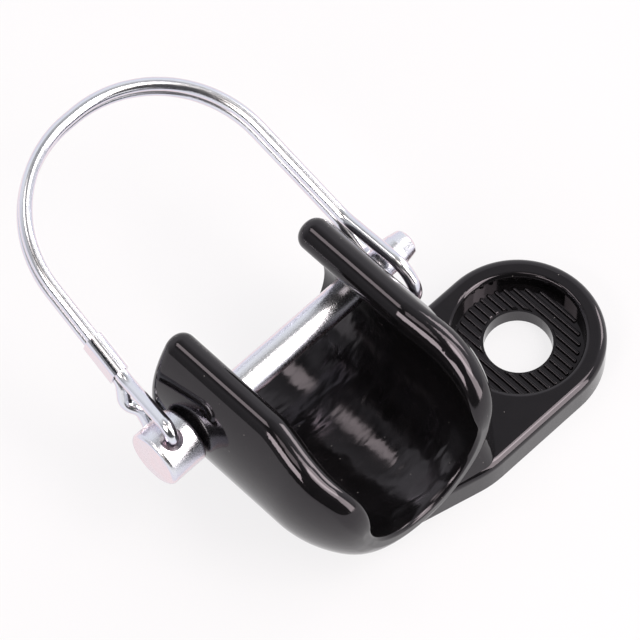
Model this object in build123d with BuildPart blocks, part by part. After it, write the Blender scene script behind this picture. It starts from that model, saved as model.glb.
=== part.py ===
"""Bike trailer hitch: cast trough with mounting plate, lock pin, wire bail and crimp sleeve.

Millimetres. The axle hole is the origin, on the back face of the plate. +Z is out of the plate,
+X runs along the lock pin from head to tip, +Y is the side the trailer tongue comes in from.
"""
import math
import os

from build123d import *

# Axle hole and mounting plate
axle_hole_d = 12.5
plate_half_w = 15.8
plate_t = 6.6
plate_edge_r = 1.6
root_past_axis = 4.0
root_taper_x = -22.5
root_taper_r = 20.0
root_half_w = 10.7
root_corner_r = 8.0
seat_r = 11.9
seat_depth = 3.2
seat_edge_r = 0.9
ridge_pitch = 1.45
ridge_w = 0.8
ridge_h = 0.45
ridge_round = 0.3

# Cast trough
trough_r = 22.7
trough_wall = 6.3
bore_ease = 0.05
ear_end_y = 31.2
ear_round_share = 0.38
scoop_len = 4.5
scoop_drop = 19.0
scoop_angle = 12.0
rim_angle = 34.0
slope_start_y = 7.0
slope_rate = 1.0
slope_ease = 4.0
mouth_y = -14.8
corner_r = 22.0
bore_share = 0.75
rim_drop = 21.0
rim_drop_len = 5.3
mouth_steps = 10
lip_round = 3.0
lip_thin = 0.7
web_drop = 8.0
web_front_half_w = 6.2
web_side_back = 4.6
web_half_w = 12.6
web_root_half_w = 9.0
web_corner_r = 4.0
skirt_x = -14.9
skirt_front_half_w = 8.6
skirt_side_x = -21.0

# Lock pin
pin_y = 21.0
pin_d = 6.0
pin_play = 0.05
head_d = 11.0
head_len = 8.0
head_gap = 0.3
head_edge_r = 0.8
head_hole_d = 4.2
head_hole_in = 3.5
tip_past = 6.1
tip_taper_len = 2.8
tip_taper = 0.45

# Wire bail
wire_d = 2.5
strand_gap = 0.1
tip_leg_clear = 1.25
head_leg_clear = 0.95
leg_lean = 3.7
leg_foot = 13.2
bail_reach = 55.3
bail_lift = 15.0
bow_flat = 0.2
eye_far = 8.2
eye_split = 10.3
eye_spread = 18.5
eye_end_share = 0.98
split_bend = 8.0
foot_bend = 6.0
wire_bend = 2.0
wire_inside = 1.6
over_head = 2.9
under_head = 2.1
kink_y = 11.3
kink_out = 1.2
kink_drop = 3.5
shelf_y = 8.8
shelf_in = 0.3
shelf_drop = 3.4
low_y = 6.2
low_drop = 5.7

# Crimp sleeve
sleeve_len = 7.7
sleeve_past_foot = 1.95
sleeve_wall = 0.45
sleeve_fit = 0.02
seam_w = 0.35
seam_aside = 1.0

# Values that follow from the ones above
axis_z = trough_r
bore_r = trough_r - trough_wall
trough_offset = plate_half_w + trough_r
scoop_start_y = ear_end_y - scoop_len
scoop_rise = bore_r * math.sin(math.radians(scoop_angle))
scoop_r = math.sqrt(bore_r**2 + 2 * scoop_rise * scoop_drop + scoop_drop**2)
seat_z = plate_t - seat_depth
root_x = -trough_offset - root_past_axis
web_x = math.sqrt(trough_r**2 - web_drop**2) - trough_offset
head_r = head_d / 2
shank_r = pin_d / 2
head_base_x = -trough_r - head_gap
head_end_x = head_base_x - head_len
hole_x = head_end_x + head_hole_in
tip_leg_x = trough_r + tip_leg_clear + wire_d / 2
foot_x = -trough_r - head_leg_clear - wire_d / 2
tip_end_x = tip_leg_x + tip_past
strand = (wire_d + strand_gap) / 2
sleeve_start = leg_foot + sleeve_past_foot

# Lock pin, drawn in X and Z through its axis
pin_plane = Plane(origin=(-trough_offset, pin_y, axis_z), x_dir=(1, 0, 0), z_dir=(0, -1, 0))
# Ears, drawn in Y and Z round the pin axis
ear_plane = Plane(origin=(-trough_offset, pin_y, axis_z), x_dir=(0, 1, 0), z_dir=(1, 0, 0))
# Bail, lifted about the pin axis: local x along the pin, local y away from it, local z across the bail
lift = math.radians(bail_lift)
bail_plane = Plane(
    origin=(-trough_offset, pin_y, axis_z),
    x_dir=(1, 0, 0),
    z_dir=(0, -math.sin(lift), math.cos(lift)),
)


def head_leg_x(y):
    """Local x of the leg on the head side, which leans in from its foot to the bow."""
    return foot_x + leg_lean * (y - leg_foot) / (bail_reach - leg_foot)


# Near end of the sleeve, drawn across the leg on the head side
sleeve_plane = Plane(
    origin=bail_plane.from_local_coords((head_leg_x(sleeve_start), sleeve_start, 0)),
    x_dir=bail_plane.z_dir,
    z_dir=bail_plane.x_dir * leg_lean + bail_plane.y_dir * (bail_reach - leg_foot),
)


def trough_plane(y):
    """Plane across the trough at y, with its origin on the trough axis."""
    return Plane(origin=(-trough_offset, y, axis_z), x_dir=(1, 0, 0), z_dir=(0, -1, 0))


def station(step):
    """Place of a section on the way to the mouth, closer together at both ends of it."""
    return slope_start_y + (mouth_y - slope_start_y) * (1 - math.cos(math.pi * step / mouth_steps)) / 2


def round_in(depth, length):
    """0 where a round end starts, 1 where it ends, along a quarter of an ellipse."""
    reach = min(1, max(0, depth / length))
    return 1 - math.sqrt(1 - reach**2)


def trough_section(y):
    """Outer radius, inner radius and rim angle of the trough at y."""
    # Towards the mouth the outside is pulled in, and the bore a little less
    inset = corner_r - math.sqrt(corner_r**2 - min(0, y) ** 2)
    middle_r = (trough_r + bore_r - (1 + bore_share) * inset) / 2
    half_wall = (trough_wall - (1 - bore_share) * inset) / 2
    # The mouth thins to a round lip
    half_wall *= 1 - lip_thin * round_in(mouth_y + lip_round - y, lip_round)
    # Rims level along the ears, sloping from there, rounding off at the mouth
    down_slope = max(0, slope_start_y - y)
    angle = rim_angle - slope_rate * down_slope**2 / (down_slope + slope_ease)
    angle -= rim_drop * round_in(mouth_y + rim_drop_len - y, rim_drop_len)
    return middle_r + half_wall, middle_r - half_wall, angle


with BuildPart() as hitch_body:
    # Mounting plate with rounded edges, its root tapering in under the trough
    with BuildSketch():
        with BuildLine():
            side = FilletPolyline(
                (0, plate_half_w),
                (root_taper_x, plate_half_w),
                (root_x, root_half_w),
                (root_x, 0),
                radius=[root_taper_r, root_corner_r],
            )
            mirror(side, about=Plane.XZ)
            Line((0, plate_half_w), (0, -plate_half_w))
        make_face()
        Circle(plate_half_w)
    extrude(amount=plate_t)
    plate_edges = hitch_body.edges().filter_by(Plane.XY)
    fillet(plate_edges.group_by(Axis.Z)[-1], plate_edge_r)
    # Web that spreads from the side of the trough down to the edges of the plate
    for z, front_x, front_w, side_x, side_w, root_w in (
        (plate_t - plate_edge_r, skirt_x, skirt_front_half_w, skirt_side_x, plate_half_w, root_half_w),
        (axis_z - web_drop, web_x, web_front_half_w, web_x - web_side_back, web_half_w, web_root_half_w),
    ):
        with BuildSketch(Plane.XY.offset(z)):
            with BuildLine():
                web_side = FilletPolyline(
                    (front_x, 0),
                    (front_x, front_w),
                    (side_x, side_w),
                    (root_x, root_w),
                    (root_x, 0),
                    radius=web_corner_r,
                )
                mirror(web_side, about=Plane.XZ)
            make_face()
    loft()
    # Room for the bore
    with BuildSketch(trough_plane(ear_end_y)):
        Circle(bore_r + bore_ease)
    extrude(amount=2 * ear_end_y, mode=Mode.SUBTRACT)
    # Trough: straight along the ears, then lofted through its sections to the mouth
    for y in (ear_end_y, *map(station, range(mouth_steps + 1))):
        outer_r, inner_r, angle = trough_section(y)
        with BuildSketch(trough_plane(y)):
            with BuildLine():
                outer = CenterArc((0, 0), outer_r, 180 - angle, 180 + 2 * angle)
                inner = CenterArc((0, 0), inner_r, 180 - angle, 180 + 2 * angle)
                for end, turn in ((0, -90), (1, 90)):
                    middle = (outer @ end + inner @ end) / 2
                    reach = (outer @ end - middle).rotate(Axis.Z, turn)
                    ThreePointArc(outer @ end, middle + reach, inner @ end)
            make_face()
        if y == ear_end_y:
            extrude(amount=ear_end_y - slope_start_y)
    loft()
    ear_tips = hitch_body.edges().filter_by(Plane.XZ).group_by(Axis.Y)[-1]
    fillet(ear_tips, ear_round_share * trough_wall)
    # Scoop that opens the floor between the ears, below their rims
    with BuildSketch(trough_plane(scoop_start_y)):
        Circle(bore_r - bore_ease)
    with BuildSketch(trough_plane(ear_end_y)):
        with Locations((0, -scoop_drop)):
            Circle(scoop_r)
    loft(mode=Mode.SUBTRACT)
    # Ridged washer seat and axle hole
    with BuildSketch(Plane.XY.offset(seat_z)):
        Circle(seat_r)
    extrude(amount=seat_depth, mode=Mode.SUBTRACT)
    seat_rims = hitch_body.edges().filter_by(GeomType.CIRCLE).filter_by_position(Axis.Z, plate_t, plate_t)
    fillet(seat_rims, seat_edge_r)
    with BuildSketch(Plane.XY.offset(seat_z)):
        ridges_aside = int((seat_r - ridge_w) / ridge_pitch)
        for i in range(-ridges_aside, ridges_aside + 1):
            ridge_len = 2 * math.sqrt((seat_r - ridge_w) ** 2 - (i * ridge_pitch) ** 2)
            with Locations((i * ridge_pitch, 0)):
                SlotOverall(ridge_len, ridge_w, rotation=90)
        Circle(axle_hole_d / 2 + ridge_h, mode=Mode.SUBTRACT)
    extrude(amount=ridge_h)
    ridge_z = seat_z + ridge_h
    fillet(hitch_body.edges().filter_by_position(Axis.Z, ridge_z, ridge_z), ridge_round)
    with BuildSketch():
        Circle(axle_hole_d / 2)
    extrude(amount=plate_t, mode=Mode.SUBTRACT)
    # Pin holes through both ears
    with BuildSketch(ear_plane):
        Circle(shank_r + pin_play)
    extrude(amount=2 * trough_r, both=True, mode=Mode.SUBTRACT)

with BuildPart() as lock_pin:
    # Turned pin: rounded head, plain shank, tapered tip
    with BuildSketch(pin_plane):
        with BuildLine():
            end_face = Line((head_end_x, 0), (head_end_x, head_r - head_edge_r))
            outer_edge = RadiusArc(end_face @ 1, (head_end_x + head_edge_r, head_r), head_edge_r)
            side = Line(outer_edge @ 1, (head_base_x - head_edge_r, head_r))
            inner_edge = RadiusArc(side @ 1, (head_base_x, head_r - head_edge_r), head_edge_r)
            Polyline(
                inner_edge @ 1,
                (head_base_x, shank_r),
                (tip_end_x - tip_taper_len, shank_r),
                (tip_end_x - tip_taper, shank_r - tip_taper),
                (tip_end_x, shank_r - 2 * tip_taper),
                (tip_end_x, 0),
                end_face @ 0,
            )
        make_face()
    revolve(axis=Axis(pin_plane.origin, (1, 0, 0)))
    # Cross hole for the wire ends
    with BuildSketch(bail_plane):
        with Locations((hole_x, 0)):
            Circle(head_hole_d / 2)
    extrude(amount=head_d, both=True, mode=Mode.SUBTRACT)

with BuildPart() as bail_wire:
    # One wire: over the head, round the bow, through the eye at the tip, back beside itself, under the head
    bow_x = head_leg_x(bail_reach)
    bow_r = (tip_leg_x - bow_x - bow_flat) / 2
    eye_z = strand + (eye_split + eye_far) * math.tan(math.radians(eye_spread))
    eye_r = eye_end_share * eye_z / math.tan(math.radians(45 + eye_spread / 2))
    under_foot = sleeve_start - wire_bend / 2
    corners = (
        ((hole_x, 0, wire_inside), 0),
        ((hole_x, 0, head_r + over_head), wire_bend),
        ((foot_x, leg_foot, strand), foot_bend),
        ((bow_x, bail_reach, strand), bow_r),
        ((tip_leg_x, bail_reach, strand), bow_r),
        ((tip_leg_x, eye_split, strand), split_bend),
        ((tip_leg_x, -eye_far, eye_z), eye_r),
        ((tip_leg_x, -eye_far, -eye_z), eye_r),
        ((tip_leg_x, eye_split, -strand), split_bend),
        ((tip_leg_x, bail_reach, -strand), bow_r),
        ((bow_x, bail_reach, -strand), bow_r),
        ((head_leg_x(under_foot), under_foot, -strand), wire_bend),
        ((foot_x - kink_out, kink_y, -strand - kink_drop), wire_bend),
        ((foot_x + shelf_in, shelf_y, -strand - shelf_drop), wire_bend),
        ((foot_x + shelf_in, low_y, -strand - low_drop), wire_bend),
        ((hole_x, 0, -head_r - under_head), wire_bend),
        ((hole_x, 0, -wire_inside), 0),
    )
    with BuildLine(bail_plane) as wire_path:
        FilletPolyline(*[point for point, bend in corners], radius=[bend for point, bend in corners[1:-1]])
    wire_line = wire_path.wires()[0]
    with BuildSketch(Plane(origin=wire_line @ 0, z_dir=wire_line % 0)):
        Circle(wire_d / 2)
    sweep(path=wire_line)

with BuildPart() as crimp_sleeve:
    # Flattened tube round both strands, with an open seam beside its top
    with BuildSketch(sleeve_plane):
        SlotCenterToCenter(2 * strand, wire_d + 2 * (sleeve_fit + sleeve_wall))
        SlotCenterToCenter(2 * strand, wire_d + 2 * sleeve_fit, mode=Mode.SUBTRACT)
        with Locations((0, -seam_aside)):
            Rectangle(2 * sleeve_len, seam_w, align=(Align.MIN, Align.CENTER), mode=Mode.SUBTRACT)
    extrude(amount=sleeve_len)

os.makedirs("parts", exist_ok=True)
for name, piece in (
    ("hitch_body", hitch_body),
    ("lock_pin", lock_pin),
    ("bail_wire", bail_wire),
    ("crimp_sleeve", crimp_sleeve),
):
    piece.part.label = name
    export_step(piece.part, f"parts/{name}.step")
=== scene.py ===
"""Looks of the bike trailer hitch: gloss black casting, zinc-plated lock pin, wire bail and crimp sleeve."""
import math

import bpy
from mathutils import Matrix, Vector

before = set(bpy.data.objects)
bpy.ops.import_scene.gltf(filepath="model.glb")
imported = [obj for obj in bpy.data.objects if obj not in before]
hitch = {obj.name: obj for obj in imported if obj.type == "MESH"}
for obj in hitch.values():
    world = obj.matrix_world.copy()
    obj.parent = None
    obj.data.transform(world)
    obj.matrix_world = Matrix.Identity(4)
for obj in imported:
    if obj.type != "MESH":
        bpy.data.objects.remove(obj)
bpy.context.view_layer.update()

MM = 0.001

# The trough's axis runs along Y at this X and Z, and its bore has this radius
TROUGH_X = -38.5 * MM
TROUGH_Z = 22.7 * MM
BORE_R = 16.4 * MM

# Colours of the passivated zinc, from seen square on (0) to seen edge on (1)
FILM_SHEEN = (
    (0.0, "#e8eaec"), (0.3, "#e1e4ee"), (0.5, "#dedceb"),
    (0.66, "#f2dfe4"), (0.82, "#e9e3ea"), (1.0, "#efeff0"))

# Softboxes a metre off: azimuth from +X towards +Y and elevation in degrees, width and height in metres, and
# brightness, where 1 is that of the white table
SOFTBOXES = (
    ("left_softbox", 181, 40, 0.5, 0.42, 9.0),
    ("right_softbox", -5, 30, 0.35, 0.35, 6.5),
    ("front_strip", -68, 34, 0.45, 1.3, 6.0),
    ("front_top_softbox", -45, 58, 0.4, 0.45, 6.0),
    ("top_softbox", 200, 74, 0.3, 0.3, 2.5),
    ("overhead_softbox", 115, 66, 0.26, 0.26, 4.2),
)
SOFTBOX_COLOUR = "#fff5f2"

TABLE_HALF = 3.0  # metres from the middle of the table to its edge
TABLE_GLOW = 0.88  # share of the table that is plain white to the eye, so that its shadow is faint

# A noise texture mostly keeps between these values
NOISE_LOW = 0.3
NOISE_HIGH = 0.7


def linear(hex_colour):
    """An sRGB hex colour as the linear values that a shader takes."""
    parts = [int(hex_colour[i:i + 2], 16) / 255 for i in (1, 3, 5)]
    return [p / 12.92 if p <= 0.04045 else ((p + 0.055) / 1.055) ** 2.4 for p in parts] + [1.0]


def per_metre(size_mm):
    """The scale of a pattern whose features are size_mm across, for coordinates in metres."""
    return 1000 / size_mm


def add(tree, kind, inputs, **settings):
    """Adds a node, sets it up, and gives each input a value or a link."""
    node = tree.nodes.new(kind)
    for name, value in settings.items():
        setattr(node, name, value)
    for name, value in inputs.items():
        if isinstance(value, bpy.types.NodeSocket):
            tree.links.new(value, node.inputs[name])
        else:
            node.inputs[name].default_value = value
    return node


def new_finish(name):
    """An empty material, its node tree and where on the piece it is, in metres."""
    finish = bpy.data.materials.new(name)
    finish.use_nodes = True
    tree = finish.node_tree
    tree.nodes.clear()
    place = add(tree, "ShaderNodeTexCoord", {}).outputs["Object"]
    return finish, tree, place


def show(tree, surface):
    """Makes a shader the one that is seen."""
    add(tree, "ShaderNodeOutputMaterial", {"Surface": surface.outputs[0]})


def gloss_black_powder_coat():
    """Baked gloss black powder coat over a die casting: a dark mirror, a little orange-peeled, whose reflections
    break up at the bottom of the trough, where the casting under it is rippled. Some dust lies on it."""
    finish, tree, place = new_finish("gloss_black_powder_coat")
    orange_peel = add(tree, "ShaderNodeTexNoise", {
        "Vector": place, "Scale": per_metre(2.5), "Detail": 1.0})
    skin = add(tree, "ShaderNodeBump", {
        "Height": orange_peel.outputs["Fac"], "Strength": 1.0, "Distance": 0.008 * MM})

    # The casting is rippled in the trough alone: how far a point is from the trough's axis says where that is
    across = add(tree, "ShaderNodeMapping", {
        "Vector": place, "Location": (-TROUGH_X, 0.0, -TROUGH_Z), "Scale": (1.0, 0.0, 1.0)})
    from_axis = add(tree, "ShaderNodeVectorMath", {0: across.outputs["Vector"]}, operation="LENGTH")
    in_trough = add(tree, "ShaderNodeMapRange", {
        "Value": from_axis.outputs["Value"],
        "From Min": BORE_R + 0.2 * MM, "From Max": BORE_R + 1.2 * MM, "To Min": 1.0, "To Max": 0.0})
    # The ripple is strong at the bottom of the trough and faint up its sides
    height_up = add(tree, "ShaderNodeSeparateXYZ", {"Vector": place})
    low_down = add(tree, "ShaderNodeMapRange", {
        "Value": height_up.outputs["Z"],
        "From Min": TROUGH_Z - 11 * MM, "From Max": TROUGH_Z, "To Min": 1.0, "To Max": 0.3})
    ripple_strength = add(tree, "ShaderNodeMath", {
        0: in_trough.outputs["Result"], 1: low_down.outputs["Result"]}, operation="MULTIPLY")
    # Its crests run across the trough, broad ones with fine ones about a sixth as high on them
    broad, broad_pitch = per_metre(5.0), per_metre(2.4)
    drawn_across = add(tree, "ShaderNodeMapping", {
        "Vector": place, "Scale": (broad, broad_pitch, broad)})
    ripples = add(tree, "ShaderNodeTexNoise", {
        "Vector": drawn_across.outputs["Vector"],
        "Scale": 1.0, "Detail": 1.2, "Roughness": 0.4, "Distortion": 0.3})
    fine, fine_pitch = per_metre(3.2), per_metre(0.9)
    drawn_finely = add(tree, "ShaderNodeMapping", {
        "Vector": place, "Scale": (fine, fine_pitch, fine)})
    fine_ripples = add(tree, "ShaderNodeTexNoise", {
        "Vector": drawn_finely.outputs["Vector"], "Scale": 1.0, "Detail": 0.5})
    ripple_height = add(tree, "ShaderNodeMath", {
        0: fine_ripples.outputs["Fac"], 1: 0.16, 2: ripples.outputs["Fac"]}, operation="MULTIPLY_ADD")
    rippled = add(tree, "ShaderNodeBump", {
        "Height": ripple_height.outputs["Value"], "Strength": ripple_strength.outputs["Value"],
        "Distance": 0.17 * MM, "Normal": skin.outputs["Normal"]})

    # Dust: specks about 0.15 mm across, a couple of millimetres apart
    dust_cells = add(tree, "ShaderNodeTexVoronoi", {
        "Vector": place, "Scale": per_metre(2.3), "Randomness": 1.0})
    dust = add(tree, "ShaderNodeMapRange", {
        "Value": dust_cells.outputs["Distance"],
        "From Min": 0.03, "From Max": 0.045, "To Min": 1.0, "To Max": 0.0})
    depth = add(tree, "ShaderNodeMix", {
        "Factor": orange_peel.outputs["Fac"],
        "A": linear("#080809"), "B": linear("#100f10")}, data_type="RGBA")
    dusty = add(tree, "ShaderNodeMix", {
        "Factor": dust.outputs["Result"],
        "A": depth.outputs["Result"], "B": linear("#757371")}, data_type="RGBA")

    # A crisp gloss outside, and a softer, uneven one over the ripple
    trough_gloss = add(tree, "ShaderNodeMapRange", {
        "Value": ripples.outputs["Fac"],
        "From Min": NOISE_LOW, "From Max": NOISE_HIGH, "To Min": 0.12, "To Max": 0.2})
    gloss = add(tree, "ShaderNodeMapRange", {
        "Value": in_trough.outputs["Result"], "To Min": 0.07, "To Max": trough_gloss.outputs["Result"]})
    coat = add(tree, "ShaderNodeBsdfPrincipled", {
        "Base Color": dusty.outputs["Result"], "Roughness": gloss.outputs["Result"],
        "IOR": 1.5, "Specular Tint": linear("#fbf4fd"), "Normal": rippled.outputs["Normal"]})
    show(tree, coat)
    return finish


def bright_zinc(name, grain, grain_depth, low_rough, high_rough):
    """Bright zinc plating on steel with a clear blue passivation: a thin film that turns the silver lilac and then
    pink where it is seen aslant, over the fine marks that the steel had before it was plated. grain is the size
    of a mark along X, Y and Z and grain_depth its depth, in mm, and the roughness varies with the marks."""
    finish, tree, place = new_finish(name)
    film = add(tree, "ShaderNodeTexNoise", {
        "Vector": place, "Scale": per_metre(6.0), "Detail": 2.0, "Distortion": 0.6})
    # Where the film is thicker, its colours come at a smaller slant
    thickness = add(tree, "ShaderNodeMapRange", {
        "Value": film.outputs["Fac"],
        "From Min": NOISE_LOW, "From Max": NOISE_HIGH, "To Min": -0.08, "To Max": 0.08})
    slant = add(tree, "ShaderNodeLayerWeight", {"Blend": 0.5})
    slant_in_film = add(tree, "ShaderNodeMath", {
        0: slant.outputs["Facing"], 1: thickness.outputs["Result"]}, operation="ADD")
    sheen = add(tree, "ShaderNodeValToRGB", {"Fac": slant_in_film.outputs["Value"]})
    sheen.color_ramp.elements.remove(sheen.color_ramp.elements[1])
    for step, (at, hex_colour) in enumerate(FILM_SHEEN):
        stop = sheen.color_ramp.elements.new(at) if step else sheen.color_ramp.elements[0]
        stop.position = at
        stop.color = linear(hex_colour)

    stretched = add(tree, "ShaderNodeMapping", {
        "Vector": place, "Scale": [per_metre(size) for size in grain]})
    marks = add(tree, "ShaderNodeTexNoise", {
        "Vector": stretched.outputs["Vector"], "Scale": 1.0, "Detail": 3.0, "Roughness": 0.6})
    worn = add(tree, "ShaderNodeBump", {
        "Height": marks.outputs["Fac"], "Strength": 1.0, "Distance": grain_depth * MM})
    smooth = add(tree, "ShaderNodeMapRange", {
        "Value": marks.outputs["Fac"],
        "From Min": NOISE_LOW, "From Max": NOISE_HIGH, "To Min": low_rough, "To Max": high_rough})

    # Painted shade: where the ambient occlusion finds holes and the gaps between strands, the zinc is painted dull
    # and dark and loses its metal; plated is the share left bright
    occlusion_for_painted_shade = add(tree, "ShaderNodeAmbientOcclusion", {"Distance": 3 * MM}, only_local=True, samples=8)
    plated = add(tree, "ShaderNodeMapRange", {
        "Value": occlusion_for_painted_shade.outputs["AO"], "From Min": 0.5, "From Max": 0.85})
    zinc = add(tree, "ShaderNodeMix", {
        "Factor": plated.outputs["Result"],
        "A": linear("#2f373b"), "B": sheen.outputs["Color"]}, data_type="RGBA")
    plating = add(tree, "ShaderNodeBsdfPrincipled", {
        "Base Color": zinc.outputs["Result"], "Metallic": plated.outputs["Result"],
        "Roughness": smooth.outputs["Result"], "Normal": worn.outputs["Normal"]})
    show(tree, plating)
    return finish


def white_table():
    """A white laminate table top under strong light: nearly white to the eye, with only a faint shadow left."""
    finish, tree, place = new_finish("white_table")
    mottle = add(tree, "ShaderNodeTexNoise", {"Vector": place, "Scale": per_metre(60.0), "Detail": 1.0})
    white = add(tree, "ShaderNodeMix", {
        "Factor": mottle.outputs["Fac"], "A": linear("#f4f3f4"), "B": linear("#f9f8f9")}, data_type="RGBA")
    matt = add(tree, "ShaderNodeBsdfDiffuse", {"Color": white.outputs["Result"]})
    glow = add(tree, "ShaderNodeEmission", {"Color": linear("#f6f5f6"), "Strength": 1.0})
    # The eye and the bright metal see the glow, and all other light meets matt laminate
    ray = add(tree, "ShaderNodeLightPath", {})
    eye_or_metal = add(tree, "ShaderNodeMath", {
        0: ray.outputs["Is Camera Ray"], 1: ray.outputs["Is Glossy Ray"]}, operation="ADD")
    seen = add(tree, "ShaderNodeMath", {
        0: eye_or_metal.outputs["Value"], 1: ray.outputs["Is Transmission Ray"]}, operation="ADD")
    share = add(tree, "ShaderNodeMath", {
        0: seen.outputs["Value"], 1: TABLE_GLOW}, operation="MULTIPLY", use_clamp=True)
    top = add(tree, "ShaderNodeMixShader", {
        0: share.outputs["Value"], 1: matt.outputs["BSDF"], 2: glow.outputs["Emission"]})
    show(tree, top)
    return finish


def coat_the_pieces():
    """Gives each piece of the hitch its finish."""
    finishes = {
        "hitch_body": gloss_black_powder_coat(),
        "lock_pin": bright_zinc("zinc_on_turned_steel", (0.4, 0.2, 0.2), 0.02, 0.2, 0.32),
        "bail_wire": bright_zinc("zinc_on_drawn_wire", (0.6, 0.9, 0.9), 0.004, 0.15, 0.22),
        "crimp_sleeve": bright_zinc("zinc_on_rolled_sheet", (0.7, 0.7, 0.7), 0.005, 0.16, 0.23),
    }
    for piece, finish in finishes.items():
        hitch[piece].data.materials.clear()
        hitch[piece].data.materials.append(finish)


def lay_the_table():
    """The table top that the hitch lies on, level with the plate's flat back."""
    table = bpy.data.meshes.new("table")
    corners = [(x * TABLE_HALF, y * TABLE_HALF, 0.0) for x, y in ((-1, -1), (1, -1), (1, 1), (-1, 1))]
    table.from_pydata(corners, [], [(0, 1, 2, 3)])
    table_top = bpy.data.objects.new("table", table)
    bpy.context.collection.objects.link(table_top)
    table.materials.append(white_table())


def hang_softbox(name, azimuth, elevation, width, height, brightness):
    """A slightly warm softbox a metre from the trough, which it faces."""
    light = bpy.data.lights.new(name, "AREA")
    light.shape = "RECTANGLE"
    light.size = width
    light.size_y = height
    light.energy = brightness * math.pi * width * height
    light.color = linear(SOFTBOX_COLOUR)[:3]
    turn, rise = math.radians(azimuth), math.radians(elevation)
    out = Vector((math.cos(turn), math.sin(turn), math.tan(rise))).normalized()
    softbox = bpy.data.objects.new(name, light)
    softbox.location = Vector((TROUGH_X, 0.0, TROUGH_Z)) + out
    softbox.rotation_euler = out.to_track_quat("Z", "Y").to_euler()
    bpy.context.collection.objects.link(softbox)


def light_the_table():
    """Softboxes round the table, in a room that is dim behind the camera and pale on its far side, under a dim
    ceiling that is paler on the right."""
    for softbox in SOFTBOXES:
        hang_softbox(*softbox)
    room = bpy.data.worlds.new("dim_room")
    room.use_nodes = True
    tree = room.node_tree
    tree.nodes.clear()
    direction = add(tree, "ShaderNodeTexCoord", {}).outputs["Generated"]
    # Turned so that X points away from the camera
    turned = add(tree, "ShaderNodeMapping", {
        "Vector": direction, "Rotation": (0.0, 0.0, math.radians(-45))}, vector_type="POINT")
    away = add(tree, "ShaderNodeSeparateXYZ", {"Vector": turned.outputs["Vector"]})
    along_pin = add(tree, "ShaderNodeSeparateXYZ", {"Vector": direction})
    far_side = add(tree, "ShaderNodeMapRange", {
        "Value": away.outputs["X"], "From Min": -0.7, "From Max": 0.4})
    right_side = add(tree, "ShaderNodeMapRange", {
        "Value": along_pin.outputs["X"], "From Min": -0.25, "From Max": 0.35})
    overhead = add(tree, "ShaderNodeMapRange", {
        "Value": away.outputs["Z"], "From Min": 0.7, "From Max": 0.88})
    walls = add(tree, "ShaderNodeMix", {
        "Factor": far_side.outputs["Result"],
        "A": linear("#444446"), "B": linear("#f6f6f9")}, data_type="RGBA")
    ceiling = add(tree, "ShaderNodeMix", {
        "Factor": right_side.outputs["Result"],
        "A": linear("#444446"), "B": linear("#b2b2b4")}, data_type="RGBA")
    room_colour = add(tree, "ShaderNodeMix", {
        "Factor": overhead.outputs["Result"],
        "A": walls.outputs["Result"], "B": ceiling.outputs["Result"]}, data_type="RGBA")
    backdrop = add(tree, "ShaderNodeBackground", {"Color": room_colour.outputs["Result"], "Strength": 1.0})
    add(tree, "ShaderNodeOutputWorld", {"Surface": backdrop.outputs["Background"]})
    bpy.context.scene.world = room


def place_camera():
    """The photograph's viewpoint, fitted to it with the axle hole as the scale: high over the mouth, with a long
    lens and hardly any roll."""
    lens = bpy.data.cameras.new("photo_camera")
    lens.sensor_width = 36.0
    lens.lens = 313.3
    lens.clip_end = 10.0
    camera = bpy.data.objects.new("photo_camera", lens)
    right = (0.71136, -0.70279, -0.00800)
    up = (0.61667, 0.61865, 0.48682)
    back = (-0.33719, -0.35124, 0.87347)
    at = (-0.358244, -0.322132, 0.874600)
    camera.matrix_world = Matrix([*zip(right, up, back, at), (0.0, 0.0, 0.0, 1.0)])
    bpy.context.collection.objects.link(camera)
    bpy.context.scene.camera = camera


coat_the_pieces()
lay_the_table()
light_the_table()
place_camera()
bpy.context.scene.view_settings.view_transform = "Standard"
